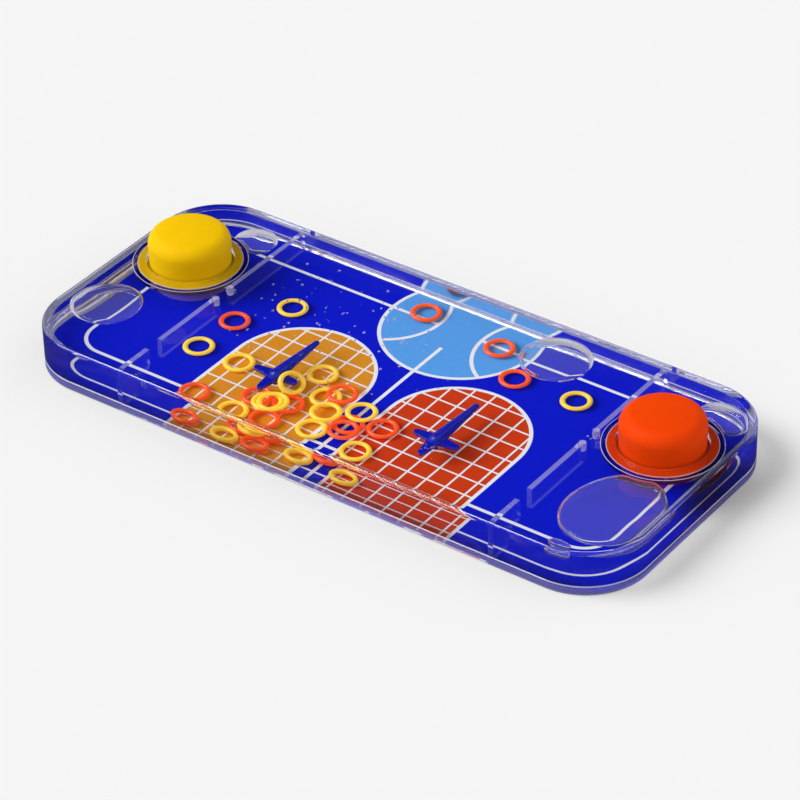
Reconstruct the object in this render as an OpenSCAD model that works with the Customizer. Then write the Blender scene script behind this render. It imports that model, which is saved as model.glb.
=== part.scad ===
// Handheld water game: a flat clear tank over a printed card, with two push bulbs,
// two pegs standing in the water and loose rings to be flicked onto them.
// X runs along the case, Y from the player's side to the far side, Z up out of the face.

/* [Case] */
// Length of the case
case_len = 160; // [145:1:185]
// Width of the case
case_wid = 71; // [66:0.5:85]
// Height of the case, from the table to the face
case_high = 11.2; // [10.6:0.1:14]
// Radius of the corners in plan
corner_r = 15.6; // [11:0.2:20]
// Thickness of the side walls
wall = 1.8; // [1.3:0.1:2.4]
// Thickness of the face
face_t = 1.6; // [1.1:0.1:2]
// Rounding of the face's outer edge
edge_r = 0.8; // [0.3:0.1:1.1]

/* [Base tray] */
// Height of the tray's rim, where the shell stands on it
seam_high = 2.3; // [1.8:0.1:2.8]
// Thickness of the tray's floor above the card
floor_t = 0.55; // [0.4:0.05:0.9]
// Rounding of the tray's lower edge
base_edge_r = 0.4; // [0.2:0.1:0.8]
// Height of the locating lip on the rim
lip_high = 0.6; // [0.4:0.1:1]
// Thickness of the locating lip
lip_t = 0.8; // [0.5:0.1:1]
// Height of the relief under the two long edges, between the dividers
relief_high = 0.4; // [0.2:0.1:0.6]

/* [Printed card] */
// Thickness of the card
card_t = 0.2; // [0.1:0.05:0.3]
// Rim left round the card at the two ends
card_end_rim = 2.6; // [1.6:0.1:4]
// Rim left round the card along the sides
card_side_rim = 1.2; // [1:0.1:3]

/* [Dividers] */
// Distance from the end of the case to the middle of a divider
divider_inset = 29.8; // [29:0.1:36]
// Thickness of a divider
divider_t = 1.3; // [0.8:0.1:1.8]
// Place of the jet slot, forward of the bulb's middle
jet_offset = 6.6; // [5:0.1:9]
// Width of the jet slot
jet_w = 3.4; // [2.4:0.1:4.4]
// Radius of the round lips beside the jet slot
jet_lip_r = 1; // [0.8:0.1:1.3]
// Distance from the front wall to the return gap
return_inset = 11.6; // [9:0.1:15]
// Width of the return gap
return_w = 4.4; // [3:0.1:6]

/* [Bulb] */
// Radius of the bulb
bulb_r = 9.7; // [8:0.1:10.4]
// Height of the bulb above the face
bulb_rise = 7.9; // [6:0.1:10]
// Rounding of the bulb's shoulder
shoulder_r = 3.3; // [2.4:0.1:4.4]
// Radius of the bulb's gently domed top
crown_r = 46; // [35:1:80]
// Wall thickness of the bulb
bulb_wall = 1.7; // [1.2:0.1:2.2]
// Distance from the end of the case to the bulb's middle
bulb_inset = 15.2; // [15.1:0.1:17]
// Distance of the bulb's middle behind the case's middle line
bulb_back = 9.9; // [6:0.1:13]
// Width of the bulb's flange outside the groove at its foot
flange_w = 2.25; // [1.6:0.05:2.6]
// Thickness of the bulb's flange
flange_t = 1.3; // [1:0.1:1.6]
// Bevel at the flange's upper edge
flange_bevel = 0.35; // [0.2:0.05:0.5]
// Width of the groove between the bulb's foot and the flange
groove_w = 0.25; // [0.2:0.05:0.4]
// Height of the bulb's foot above the flange's underside
foot_lift = 0.2; // [0.1:0.05:0.4]

/* [Bulb seat] */
// Wall thickness of the clear seat ring
seat_wall = 1.05; // [0.8:0.05:1.3]
// Thickness of the ledge that the flange sits on
ledge_t = 1; // [0.8:0.1:1.4]
// Width of the ledge
ledge_w = 1.9; // [1.4:0.1:2.2]
// Clearance between the bulb and the hole in the face
hole_gap = 0.65; // [0.4:0.05:0.9]

/* [Pegs] */
// Distance of a peg from the case's middle
peg_x = 21.9; // [20:0.1:26]
// Distance from the front wall to the middle of a peg's cross
peg_inset = 19.6; // [19:0.1:23]
// Length of the spike, from the middle of the cross
spike_len = 16; // [12:0.5:20]
// Radius of the spike at the cross
spike_r = 1.9; // [1.5:0.1:2.1]
// Radius of the spike's round tip
spike_tip_r = 0.75; // [0.5:0.05:1]
// Length of the two side arms, from the middle of the cross
arm_len = 5.9; // [5:0.1:6.6]
// Length of the tail, from the middle of the cross
tail_len = 6.4; // [5:0.1:7]
// Width of an arm at the cross
arm_w = 3.2; // [2.4:0.1:3.8]
// Width of an arm at its round end
arm_end_w = 1.6; // [1:0.1:2]
// Thickness of the arms
arm_t = 1.2; // [0.9:0.05:1.4]
// Height of the arms' underside above the tank floor
peg_stand = 4.5; // [4.3:0.1:4.8]
// Radius of the boss that carries a peg
boss_r = 1.7; // [1.4:0.1:2]
// Radius of the peg's pin in its boss
pin_r = 0.8; // [0.6:0.05:1]
// Depth of the pin in its boss
pin_deep = 1.5; // [1:0.1:1.7]

/* [Rings] */
// Outer diameter of a ring
ring_d = 7.4; // [6.6:0.1:7.8]
// Thickness of a ring
ring_t = 1.24; // [1:0.02:1.3]

/* [Fit] */
// Clearance of the glued joints: over the seats, round the lip and round the card
glue_gap = 0.05; // [0.02:0.01:0.08]
// Clearance between the flange and the seat's wall
flange_gap = 0.1; // [0.05:0.01:0.15]
// Clearance between rings that lie side by side or on each other
ring_gap = 0.05; // [0.03:0.01:0.1]
// Clearance of a peg's pin in its boss
pin_gap = 0.05; // [0.03:0.01:0.08]

/* [Hidden] */
$fn = 96;
// Overlap of forms that are one piece, and how far a cut runs past what it cuts
eps = 0.01;
over = 1;

// Inside of the tank
inner_len = case_len - 2 * wall;
inner_wid = case_wid - 2 * wall;
inner_r = corner_r - wall;
ceiling = case_high - face_t;
front_y = -inner_wid / 2;
back_y = inner_wid / 2;

// Tank floor, locating lip, card, and the strip of the rim beside the card that is relieved
floor_top = card_t + glue_gap + floor_t;
lip_top = seam_high + lip_high;
lip_len = inner_len + 2 * lip_t;
lip_wid = inner_wid + 2 * lip_t;
lip_r = inner_r + lip_t;
card_len = case_len - 2 * card_end_rim;
card_wid = case_wid - 2 * card_side_rim;
card_r = corner_r - card_end_rim;
relief_w = card_side_rim + over;

// Dividers
divider_x = case_len / 2 - divider_inset;
jet_y = bulb_back - jet_offset;
return_y = front_y + return_inset;

// Bulbs and their seats
bulb_x = case_len / 2 - bulb_inset;
bulb_top = case_high + bulb_rise;
flange_in_r = bulb_r + groove_w;
flange_out_r = flange_in_r + flange_w;
seat_in_r = flange_out_r + flange_gap;
seat_out_r = seat_in_r + seat_wall;
flange_top = ceiling - glue_gap;
flange_bottom = flange_top - flange_t;
seat_bottom = flange_bottom - ledge_t;
bulb_bottom = flange_bottom + foot_lift;

// Pegs: the round root of the spike stands just clear of the boss, which takes the pin
peg_y = front_y + peg_inset;
arm_bottom = floor_top + peg_stand;
peg_mid = arm_bottom + arm_t / 2;
hub_r = 0.6 * arm_w;
boss_top = peg_mid - spike_r - pin_gap;
pin_bottom = boss_top - pin_deep;

// Rings: radius of the middle line, spacing, height where the lowest lie and height of a layer
ring_mid_r = (ring_d - ring_t) / 2;
ring_pitch = ring_d + 2 * ring_gap;
ring_bed = floor_top + ring_gap;
layer_high = ring_t + ring_gap;
reach_x = divider_x - divider_t / 2 - ring_d / 2;
reach_y = back_y - ring_d / 2;

// Scattered rings, as shares of the way from the middle to where a ring meets a divider or a wall
SCATTERED = [
    ["yellow_ring_01", -0.99, -0.4], ["orange_ring_01", -0.98, 0.02], ["yellow_ring_02", -0.81, 0.41],
    ["orange_ring_02", -0.23, 0.93], ["orange_ring_03", 0.25, 0.85], ["orange_ring_04", 0.46, 0.58],
    ["yellow_ring_03", 0.81, 0.6], ["yellow_ring_04", -0.74, -0.4]
];
// Heaped rings, in ring pitches from the left peg's cross, with the layer they lie in
HEAPED = [
    ["yellow_ring_05", 0.84, 1.19, 0], ["yellow_ring_06", 1.63, 0.29, 0],
    ["orange_ring_05", 2.03, 0.59, 1], ["yellow_ring_07", 2.16, -0.42, 1],
    ["yellow_ring_08", 3.04, 0.16, 1], ["orange_ring_06", 3.95, -0.05, 0],
    ["orange_ring_07", 3.01, -0.45, 0], ["orange_ring_08", 3.11, -0.85, 1],
    ["yellow_ring_09", 3.95, -1.41, 0], ["yellow_ring_10", 2.24, -1.23, 0],
    ["yellow_ring_11", 0.41, -0.95, 1], ["yellow_ring_12", 0.64, -0.98, 2],
    ["orange_ring_09", -0.08, -0.79, 0], ["orange_ring_10", 0.92, -0.61, 0],
    ["orange_ring_11", -1.76, -1.69, 0], ["yellow_ring_13", -0.24, -1.8, 0],
    ["orange_ring_12", 0.8, -1.62, 0]
];
// The last ring hangs on the left peg's right arm: how far its middle lies inside the arm's end,
// its clearance above the arm, and its lean in degrees
hang_in = 1.4;
hang_gap = 0.4;
lean = 45;

// Rounded rectangle
module plan(length, width, radius) {
    square([length - 2 * radius, width], center = true);
    square([length, width - 2 * radius], center = true);
    for (sx = [-1, 1], sy = [-1, 1]) {
        translate([sx * (length / 2 - radius), sy * (width / 2 - radius)]) circle(r = radius);
    }
}

// Half of a slab's cross-section, with its top corner rounded
module edge_profile(half, high, round_r) {
    square([half - round_r, high]);
    square([half, high - round_r]);
    translate([half - round_r, high - round_r]) circle(r = round_r, $fn = 48);
}

// Full cross-section of a slab
module slab_profile(width, high, round_r) {
    edge_profile(width / 2, high, round_r);
    mirror([1, 0]) edge_profile(width / 2, high, round_r);
}

// Rounded slab whose upper edge is rounded all the way round
module soft_slab(length, width, radius, high, round_r) {
    rotate([90, 0, 90]) translate([0, 0, radius - length / 2])
        linear_extrude(length - 2 * radius) slab_profile(width, high, round_r);
    rotate([90, 0, 0]) translate([0, 0, radius - width / 2])
        linear_extrude(width - 2 * radius) slab_profile(length, high, round_r);
    for (sx = [-1, 1], sy = [-1, 1]) {
        translate([sx * (length / 2 - radius), sy * (width / 2 - radius), 0])
            rotate_extrude() edge_profile(radius, high, round_r);
    }
}

// One wall across the tank, with a jet slot between round lips and a gap for the water to return
module divider(side) {
    high = ceiling - floor_top;
    jet_edge = jet_w / 2 + jet_lip_r;
    translate([side * divider_x, 0, floor_top]) {
        divider_run(jet_y + jet_edge, back_y + eps, high);
        divider_run(return_y + return_w / 2, jet_y - jet_edge, high);
        divider_run(front_y - eps, return_y - return_w / 2, high);
        for (s = [-1, 1]) {
            translate([0, jet_y + s * jet_edge, 0]) cylinder(r = jet_lip_r, h = high + eps);
        }
    }
}

module divider_run(from_y, to_y, high) {
    translate([-divider_t / 2, from_y, 0]) cube([divider_t, to_y - from_y, high + eps]);
}

// Room that a divider leaves for the tray's rim and lip, down to the floor
module rim_room() {
    translate([0, 0, floor_top - over]) linear_extrude(lip_top + glue_gap - floor_top + over) difference() {
        plan(case_len, case_wid, corner_r);
        plan(inner_len - 2 * glue_gap, inner_wid - 2 * glue_gap, inner_r - glue_gap);
    }
}

// Clear face and side walls, open underneath, with the dividers moulded in
module front_shell() {
    color([0.86, 0.9, 0.98, 0.35]) {
        difference() {
            translate([0, 0, seam_high])
                soft_slab(case_len, case_wid, corner_r, case_high - seam_high, edge_r);
            translate([0, 0, seam_high - over]) linear_extrude(ceiling - seam_high + over)
                plan(inner_len, inner_wid, inner_r);
            translate([0, 0, seam_high - over]) linear_extrude(lip_high + glue_gap + over)
                plan(lip_len + 2 * glue_gap, lip_wid + 2 * glue_gap, lip_r + glue_gap);
            for (side = [-1, 1]) {
                translate([side * bulb_x, bulb_back, ceiling - over])
                    cylinder(r = bulb_r + hole_gap, h = face_t + 2 * over);
            }
        }
        difference() {
            for (side = [-1, 1]) divider(side);
            rim_room();
        }
    }
}

// Clear tray: a thin floor with a recess for the card underneath, the two peg bosses, and a rim with a lip
module base_tray() {
    color([0.84, 0.88, 0.97, 0.4]) difference() {
        union() {
            tray_rim();
            for (side = [-1, 1]) {
                translate([side * peg_x, peg_y, floor_top - eps])
                    cylinder(r = boss_r, h = boss_top - floor_top + eps);
            }
        }
        translate([0, 0, -over]) linear_extrude(over + card_t + glue_gap)
            plan(card_len + 2 * glue_gap, card_wid + 2 * glue_gap, card_r + glue_gap);
        for (side = [-1, 1]) {
            translate([0, side * (card_wid + relief_w) / 2, (relief_high - over) / 2])
                cube([2 * divider_x, relief_w, relief_high + over], center = true);
            translate([side * peg_x, peg_y, pin_bottom - pin_gap])
                cylinder(r = pin_r + pin_gap, h = case_high);
        }
    }
}

// Floor and rim of the tray, with the locating lip that fits into the shell
module tray_rim() {
    difference() {
        union() {
            translate([0, 0, seam_high]) mirror([0, 0, 1])
                soft_slab(case_len, case_wid, corner_r, seam_high, base_edge_r);
            translate([0, 0, seam_high - eps]) linear_extrude(lip_high + eps) plan(lip_len, lip_wid, lip_r);
        }
        translate([0, 0, floor_top]) linear_extrude(case_high) plan(inner_len, inner_wid, inner_r);
    }
}

// Card with the printed court, under the floor
module printed_card() {
    color([0.06, 0.16, 0.78])
        translate([0, 0, glue_gap]) linear_extrude(card_t) plan(card_len, card_wid, card_r);
}

// Clear ring glued under the face round a hole, with a ledge that holds the bulb's flange up
module bulb_seat(side) {
    color([0.9, 0.93, 1, 0.45])
        translate([side * bulb_x, bulb_back, seat_bottom]) difference() {
            cylinder(r = seat_out_r, h = flange_top - seat_bottom);
            translate([0, 0, ledge_t]) cylinder(r = seat_in_r, h = case_high);
            translate([0, 0, -over]) cylinder(r = seat_in_r - ledge_w, h = case_high);
        }
}

module left_bulb_seat() { bulb_seat(-1); }
module right_bulb_seat() { bulb_seat(1); }

// Fixed rim of a rubber bulb, held between the face and the seat's ledge
module bulb_flange(side, tint) {
    color(tint)
        translate([side * bulb_x, bulb_back, flange_bottom]) rotate_extrude() difference() {
            translate([flange_in_r, 0]) square([flange_w, flange_t]);
            translate([flange_out_r, flange_t]) rotate(45) square(sqrt(2) * flange_bevel, center = true);
        }
}

module left_bulb_flange() { bulb_flange(-1, [0.93, 0.72, 0.02]); }
module right_bulb_flange() { bulb_flange(1, [0.93, 0.27, 0.02]); }

// Half-section of a bulb: straight side, round shoulder and a gently domed top that meets it smoothly
module bulb_section(radius, high, round_r, top_r) {
    shoulder_z = high - top_r + sqrt(pow(top_r - round_r, 2) - pow(radius - round_r, 2));
    crown_edge = (radius - round_r) * top_r / (top_r - round_r);
    square([radius, shoulder_z]);
    square([radius - round_r, shoulder_z + round_r / 2]);
    intersection() {
        translate([radius - round_r, shoulder_z]) circle(r = round_r, $fn = 64);
        square([radius, high]);
    }
    intersection() {
        translate([0, high - top_r]) circle(r = top_r, $fn = 360);
        square([crown_edge, high]);
    }
}

// Hollow moving part of a rubber bulb
module bulb(side, tint) {
    high = bulb_top - bulb_bottom;
    hollow_high = high - bulb_wall + eps;
    color(tint)
        translate([side * bulb_x, bulb_back, bulb_bottom]) rotate_extrude() difference() {
            bulb_section(bulb_r, high, shoulder_r, crown_r);
            translate([0, -eps])
                bulb_section(bulb_r - bulb_wall, hollow_high, shoulder_r - bulb_wall, crown_r - bulb_wall);
        }
}

module left_bulb() { bulb(-1, [0.95, 0.76, 0.03]); }
module right_bulb() { bulb(1, [0.95, 0.29, 0.03]); }

// Outline of one tapered arm of the cross, with a round end, along X
module arm_plan(length) {
    end_r = arm_end_w / 2;
    polygon([[0, -arm_w / 2], [length - end_r, -end_r], [length - end_r, end_r], [0, arm_w / 2]]);
    translate([length - end_r, 0]) circle(r = end_r, $fn = 32);
}

// Half-section of the spike: a round root, a long taper and a round tip
module spike_section() {
    spike_run = spike_len - spike_tip_r;
    intersection() {
        union() {
            circle(r = spike_r, $fn = 64);
            polygon([[0, 0], [spike_r, 0], [spike_tip_r, spike_run], [0, spike_run]]);
            translate([0, spike_run]) circle(r = spike_tip_r, $fn = 48);
        }
        translate([0, -spike_r]) square([spike_r, spike_r + spike_len]);
    }
}

// Peg: a spike along Y from a flat cross, with a pin down into its boss
module peg(side) {
    color([0.03, 0.16, 0.62])
        translate([side * peg_x, peg_y, 0]) {
            translate([0, 0, arm_bottom]) linear_extrude(arm_t) {
                arm_plan(arm_len);
                rotate(180) arm_plan(arm_len);
                rotate(-90) arm_plan(tail_len);
                circle(r = hub_r);
            }
            translate([0, 0, pin_bottom]) cylinder(r = pin_r, h = peg_mid - pin_bottom);
            translate([0, 0, peg_mid]) rotate([-90, 0, 0]) rotate_extrude() spike_section();
        }
}

module left_peg() { peg(-1); }
module right_peg() { peg(1); }

// One ring, lying flat on the point it is given
module ring() {
    translate([0, 0, ring_t / 2]) rotate_extrude() translate([ring_mid_r, 0]) circle(d = ring_t, $fn = 48);
}

yellow_tint = [0.94, 0.78, 0.18];
orange_tint = [0.9, 0.33, 0.08];
function ring_tint(name) = name[0] == "y" ? yellow_tint : orange_tint;

// Ring of a row of the first table, on the floor
module scattered_ring(row) {
    color(ring_tint(row[0])) translate([row[1] * reach_x, row[2] * reach_y, ring_bed]) ring();
}

// Ring of a row of the second table, in its layer of the heap
module heaped_ring(row) {
    color(ring_tint(row[0]))
        translate([-peg_x + row[1] * ring_pitch, peg_y + row[2] * ring_pitch, ring_bed + row[3] * layer_high])
            ring();
}

// Ring that hangs aslant on the left peg's right arm
module yellow_ring_14() {
    hang_z = arm_bottom + arm_t + hang_gap + ring_t / 2 - ring_mid_r * sin(lean);
    color(yellow_tint) translate([-peg_x + arm_len - hang_in, peg_y, hang_z])
        rotate([0, lean, 0]) translate([0, 0, -ring_t / 2]) ring();
}

front_shell();
base_tray();
printed_card();
left_bulb_seat();
right_bulb_seat();
left_bulb_flange();
right_bulb_flange();
left_bulb();
right_bulb();
left_peg();
right_peg();
for (row = SCATTERED) {
    scattered_ring(row);
}
for (row = HEAPED) {
    heaped_ring(row);
}
yellow_ring_14();
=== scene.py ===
import math

import bpy
from mathutils import Matrix, Vector


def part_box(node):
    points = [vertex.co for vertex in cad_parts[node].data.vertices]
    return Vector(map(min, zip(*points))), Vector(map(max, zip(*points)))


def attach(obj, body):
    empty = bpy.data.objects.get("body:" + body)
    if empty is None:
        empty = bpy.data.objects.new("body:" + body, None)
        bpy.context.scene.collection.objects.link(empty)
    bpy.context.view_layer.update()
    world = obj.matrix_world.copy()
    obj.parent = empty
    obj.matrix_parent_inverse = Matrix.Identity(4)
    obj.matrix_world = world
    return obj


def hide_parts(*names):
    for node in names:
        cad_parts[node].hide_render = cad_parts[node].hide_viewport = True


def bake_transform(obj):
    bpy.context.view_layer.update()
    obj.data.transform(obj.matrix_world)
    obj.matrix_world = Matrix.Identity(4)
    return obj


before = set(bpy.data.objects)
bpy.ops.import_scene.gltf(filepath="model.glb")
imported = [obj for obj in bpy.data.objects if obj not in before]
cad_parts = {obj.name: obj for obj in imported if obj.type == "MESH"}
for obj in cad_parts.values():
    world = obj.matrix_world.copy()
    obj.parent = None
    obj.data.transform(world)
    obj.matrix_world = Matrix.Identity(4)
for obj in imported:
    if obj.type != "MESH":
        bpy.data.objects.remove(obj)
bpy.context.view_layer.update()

MM = 0.001
scene = bpy.context.scene


# Camera
# The view of the photograph: from in front and to the right, well above the table, with a long lens and a
# slight lean of the horizon. The picture is taken to be 800 pixels wide.
PICTURE_PX = 800
FOCAL_PX = 3813.08
SENSOR_W = 36.0
VIEW_AZIMUTH = math.radians(36.355)
VIEW_ELEVATION = math.radians(35.106)
VIEW_LEAN = math.radians(-1.2625)
VIEW_DISTANCE = 855.8 * MM
VIEW_TARGET = Vector((-0.43, 3.23, 0)) * MM
NEAREST_SEEN = 0.05
FARTHEST_SEEN = 20

level = math.cos(VIEW_ELEVATION)
back = Vector((math.sin(VIEW_AZIMUTH) * level, -math.cos(VIEW_AZIMUTH) * level, math.sin(VIEW_ELEVATION)))
right = (-back).cross(Vector((0, 0, 1))).normalized()
up = right.cross(-back)
leaned_right = right * math.cos(VIEW_LEAN) + up * math.sin(VIEW_LEAN)
leaned_up = up * math.cos(VIEW_LEAN) - right * math.sin(VIEW_LEAN)
camera = bpy.data.objects.new("camera", bpy.data.cameras.new("camera"))
scene.collection.objects.link(camera)
camera.data.sensor_width = SENSOR_W
camera.data.lens = SENSOR_W * FOCAL_PX / PICTURE_PX
camera.data.clip_start = NEAREST_SEEN
camera.data.clip_end = FARTHEST_SEEN
turned = Matrix((leaned_right, leaned_up, back)).transposed().to_4x4()
camera.matrix_world = Matrix.Translation(VIEW_TARGET + back * VIEW_DISTANCE) @ turned
scene.camera = camera


# Clear tray
# The lower moulding of the tank, in clear acrylic: a thin floor, a rim with a low lip that reaches the seam,
# two bosses for the pegs and a recess underneath, where the printed court is laminated on. Its long rims are
# relieved by 0.4 mm, so the case stands on its two ends. Sizes are in millimetres.
CASE_HALF = Vector((80, 35.5))
CORNER_R = 15.6
CORNER_STEPS = 40
WALL = 1.8
SEAM_HIGH = 2.3
SEAM_BEVEL = 0.2
WELD_GAP = 0.02
FLOOR_TOP = 0.8
BASE_EDGE_R = 0.4
BASE_EDGE_STEPS = 6
MILKY_TO = 1.95
LIP_T = 0.8
LIP_TOP = 2.88
CARD_RIM = Vector((2.55, 1.15))
CARD_POCKET = 0.26
RELIEF_HIGH = 0.4
RELIEF_OVERLAP = 0.01
DIVIDER_X = 50.2
PEG_X = 21.9
PEG_Y = -14.1
BOSS_R = 1.7
BOSS_TOP = 3.95
BOSS_ROOT = 0.3
BOSS_BEVEL = 0.15
BOSS_STEPS = 48
PIN_R = 0.8
PIN_BOTTOM = 2.45
PIN_CLEARANCE = 0.05
PIN_STEPS = 32
BORE_CUT_TO = 8
CUT_PAST = 1
CREASE = 32
FLAT_NORMAL = 0.99995
REFRACTION_PLASTIC = 1.49
REFRACTION_WATER = 1.333
REFRACTION_PLASTIC_IN_WATER = REFRACTION_PLASTIC / REFRACTION_WATER
REFRACTION_DIVIDER = 1.09
CLEAR_TINT = (0.985, 0.988, 1, 1)
# Painted shade: the side faces carry a grey tint that darkens what is seen through the walls.
SHADED_SIDE_TINT = (0.62, 0.6, 0.66, 1)
# Painted shade: the undersides carry a dark blue tint in place of the shaded table under the case.
SHADED_UNDERSIDE_TINT = (0.16, 0.18, 0.6, 1)
HAZE_TINT = (0.8, 0.78, 0.95, 1)
RIM_HAZE_TINT = (0.42, 0.39, 0.95, 1)
PASSED_LIGHT = 0.985


def corner_loop(half, radius):
    """Points of a rounded rectangle in millimetres, anticlockwise from the right side."""
    points = []
    for corner, (sx, sy) in enumerate(((1, 1), (-1, 1), (-1, -1), (1, -1))):
        cx, cy = sx * (half.x - radius), sy * (half.y - radius)
        for step in range(CORNER_STEPS + 1):
            a = math.pi / 2 * (corner + step / CORNER_STEPS)
            points.append((cx + radius * math.cos(a), cy + radius * math.sin(a)))
    return points


def round_profile(inset, low, radius, steps, rising):
    """Insets and heights of a quarter round, from a wall into a top if rising, else from a bottom up."""
    rows = []
    for step in range(1, steps + 1):
        a = math.pi / 2 * step / steps
        if rising:
            rows.append((inset + radius * (1 - math.cos(a)), low + radius * math.sin(a)))
        else:
            rows.append((inset + radius * (1 - math.sin(a)), low + radius * (1 - math.cos(a))))
    return rows


def new_piece(name, points, faces, finishes, finish_of=None):
    """A mesh object at the origin, from points in millimetres."""
    mesh = bpy.data.meshes.new(name)
    mesh.from_pydata([Vector(p) * MM for p in points], [], faces)
    for finish in finishes:
        mesh.materials.append(finish)
    if finish_of:
        mesh.polygons.foreach_set("material_index", finish_of)
    mesh.update()
    piece = bpy.data.objects.new(name, mesh)
    scene.collection.objects.link(piece)
    return piece


def slab(name, half, radius, profile, finishes, strip_finish=None, under_finish=0):
    """A closed slab: a rounded rectangle that follows the profile's (inset, height) rows upwards."""
    points, faces, finish_of = [], [], []
    for inset, high in profile:
        loop = corner_loop(half - Vector((inset, inset)), radius - inset)
        points += [(x, y, high) for x, y in loop]
    count = 4 * (CORNER_STEPS + 1)
    for row in range(len(profile) - 1):
        for i in range(count):
            j = (i + 1) % count
            a, b = row * count, (row + 1) * count
            faces.append((a + i, a + j, b + j, b + i))
            finish_of.append(strip_finish[row] if strip_finish else 0)
    faces.append(tuple(reversed(range(count))))
    faces.append(tuple(range((len(profile) - 1) * count, len(profile) * count)))
    finish_of += [under_finish, strip_finish[-1] if strip_finish else 0]
    return new_piece(name, points, faces, finishes, finish_of)


def block(name, low, high, finishes):
    """A plain block, used to cut or to build up other pieces."""
    points = [(x, y, z) for x in (low[0], high[0]) for y in (low[1], high[1]) for z in (low[2], high[2])]
    faces = [(0, 1, 3, 2), (4, 6, 7, 5), (0, 4, 5, 1), (2, 3, 7, 6), (0, 2, 6, 4), (1, 5, 7, 3)]
    return new_piece(name, points, faces, finishes)


def turn_profile(name, profile, centre, finishes, steps, finish_of_row=None, closed=True):
    """A turned piece about the upright line through centre. A closed profile runs round a ring's section
    anticlockwise, and an open one from the axis at the bottom to the axis at the top."""
    points, faces, finish_of, starts = [], [], [], []
    for r, z in profile:
        starts.append(len(points))
        for i in range(steps if r else 1):
            a = 2 * math.pi * i / steps
            points.append((centre[0] + r * math.cos(a), centre[1] + r * math.sin(a), z))
    rows = len(profile)
    for row in range(rows if closed else rows - 1):
        nxt = (row + 1) % rows
        a, b = starts[row], starts[nxt]
        for i in range(steps):
            j = (i + 1) % steps
            if profile[row][0] == 0:
                faces.append((a, b + j, b + i))
            elif profile[nxt][0] == 0:
                faces.append((a + i, a + j, b))
            else:
                faces.append((a + i, a + j, b + j, b + i))
            finish_of.append(finish_of_row[row] if finish_of_row else 0)
    return new_piece(name, points, faces, finishes, finish_of)


def evaluated_copy(piece):
    """Turns a piece's modifiers into a plain mesh."""
    bpy.context.view_layer.update()
    shape = bpy.data.meshes.new_from_object(piece.evaluated_get(bpy.context.evaluated_depsgraph_get()))
    piece.modifiers.clear()
    old = piece.data
    piece.data = shape
    shape.name = piece.name
    bpy.data.meshes.remove(old)
    return piece


def join_or_cut(piece, tool, how):
    """Adds a tool to a piece or takes it away, and keeps the tool's finish on the faces that it leaves."""
    step = piece.modifiers.new("step", "BOOLEAN")
    step.operation = how
    step.solver = "EXACT"
    step.material_mode = "TRANSFER"
    step.object = tool
    evaluated_copy(piece)
    bpy.data.objects.remove(tool)


def shade(piece, crease=CREASE):
    """Flat faces stay flat, and round ones are shaded smooth up to an edge sharper than the crease."""
    mesh = piece.data
    mesh.polygons.foreach_set(
        "use_smooth", [max(abs(c) for c in face.normal) < FLAT_NORMAL for face in mesh.polygons]
    )
    mesh.set_sharp_from_angle(angle=math.radians(crease))


def colour(red, green, blue):
    """A screen colour of 0 to 255 as Blender's linear colour."""
    values = [c / 255 for c in (red, green, blue)]
    return (*[v / 12.92 if v <= 0.04045 else ((v + 0.055) / 1.055) ** 2.4 for v in values], 1)


def new_finish(name):
    """An empty node material: the material and its nodes."""
    finish = bpy.data.materials.new(name)
    finish.use_nodes = True
    finish.node_tree.nodes.clear()
    return finish, finish.node_tree.nodes


def add_node(nodes, kind, values=None, **settings):
    """A new node with values for its input sockets and with its own settings."""
    node = nodes.new(kind)
    for setting, value in settings.items():
        setattr(node, setting, value)
    for socket, value in (values or {}).items():
        node.inputs[socket].default_value = value
    return node


def wire(start, output, end, place):
    """Links an output of one node to an input of another."""
    start.id_data.links.new(start.outputs[output], end.inputs[place])


def handling_group():
    """Faint smears and waviness of a moulded and handled clear wall."""
    group = bpy.data.node_groups.new("handling", "ShaderNodeTree")
    face = group.interface
    face.new_socket("Smears", in_out="INPUT", socket_type="NodeSocketFloat")
    face.new_socket("Waviness", in_out="INPUT", socket_type="NodeSocketFloat")
    face.new_socket("Roughness", in_out="OUTPUT", socket_type="NodeSocketFloat")
    face.new_socket("Normal", in_out="OUTPUT", socket_type="NodeSocketVector")
    nodes = group.nodes
    given = nodes.new("NodeGroupInput")
    result = nodes.new("NodeGroupOutput")
    place = nodes.new("ShaderNodeTexCoord")
    smear = add_node(nodes, "ShaderNodeTexNoise", {"Scale": 90, "Detail": 4})
    amount = add_node(nodes, "ShaderNodeMath", operation="MULTIPLY")
    wave = add_node(nodes, "ShaderNodeTexNoise", {"Scale": 55, "Detail": 1})
    bump = add_node(nodes, "ShaderNodeBump", {"Distance": 0.2 * MM})
    wire(place, "Object", smear, "Vector")
    wire(smear, "Fac", amount, 0)
    wire(given, "Smears", amount, 1)
    wire(amount, "Value", result, "Roughness")
    wire(place, "Object", wave, "Vector")
    wire(given, "Waviness", bump, "Strength")
    wire(wave, "Fac", bump, "Height")
    wire(bump, "Normal", result, "Normal")
    return group


handling = handling_group()


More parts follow.
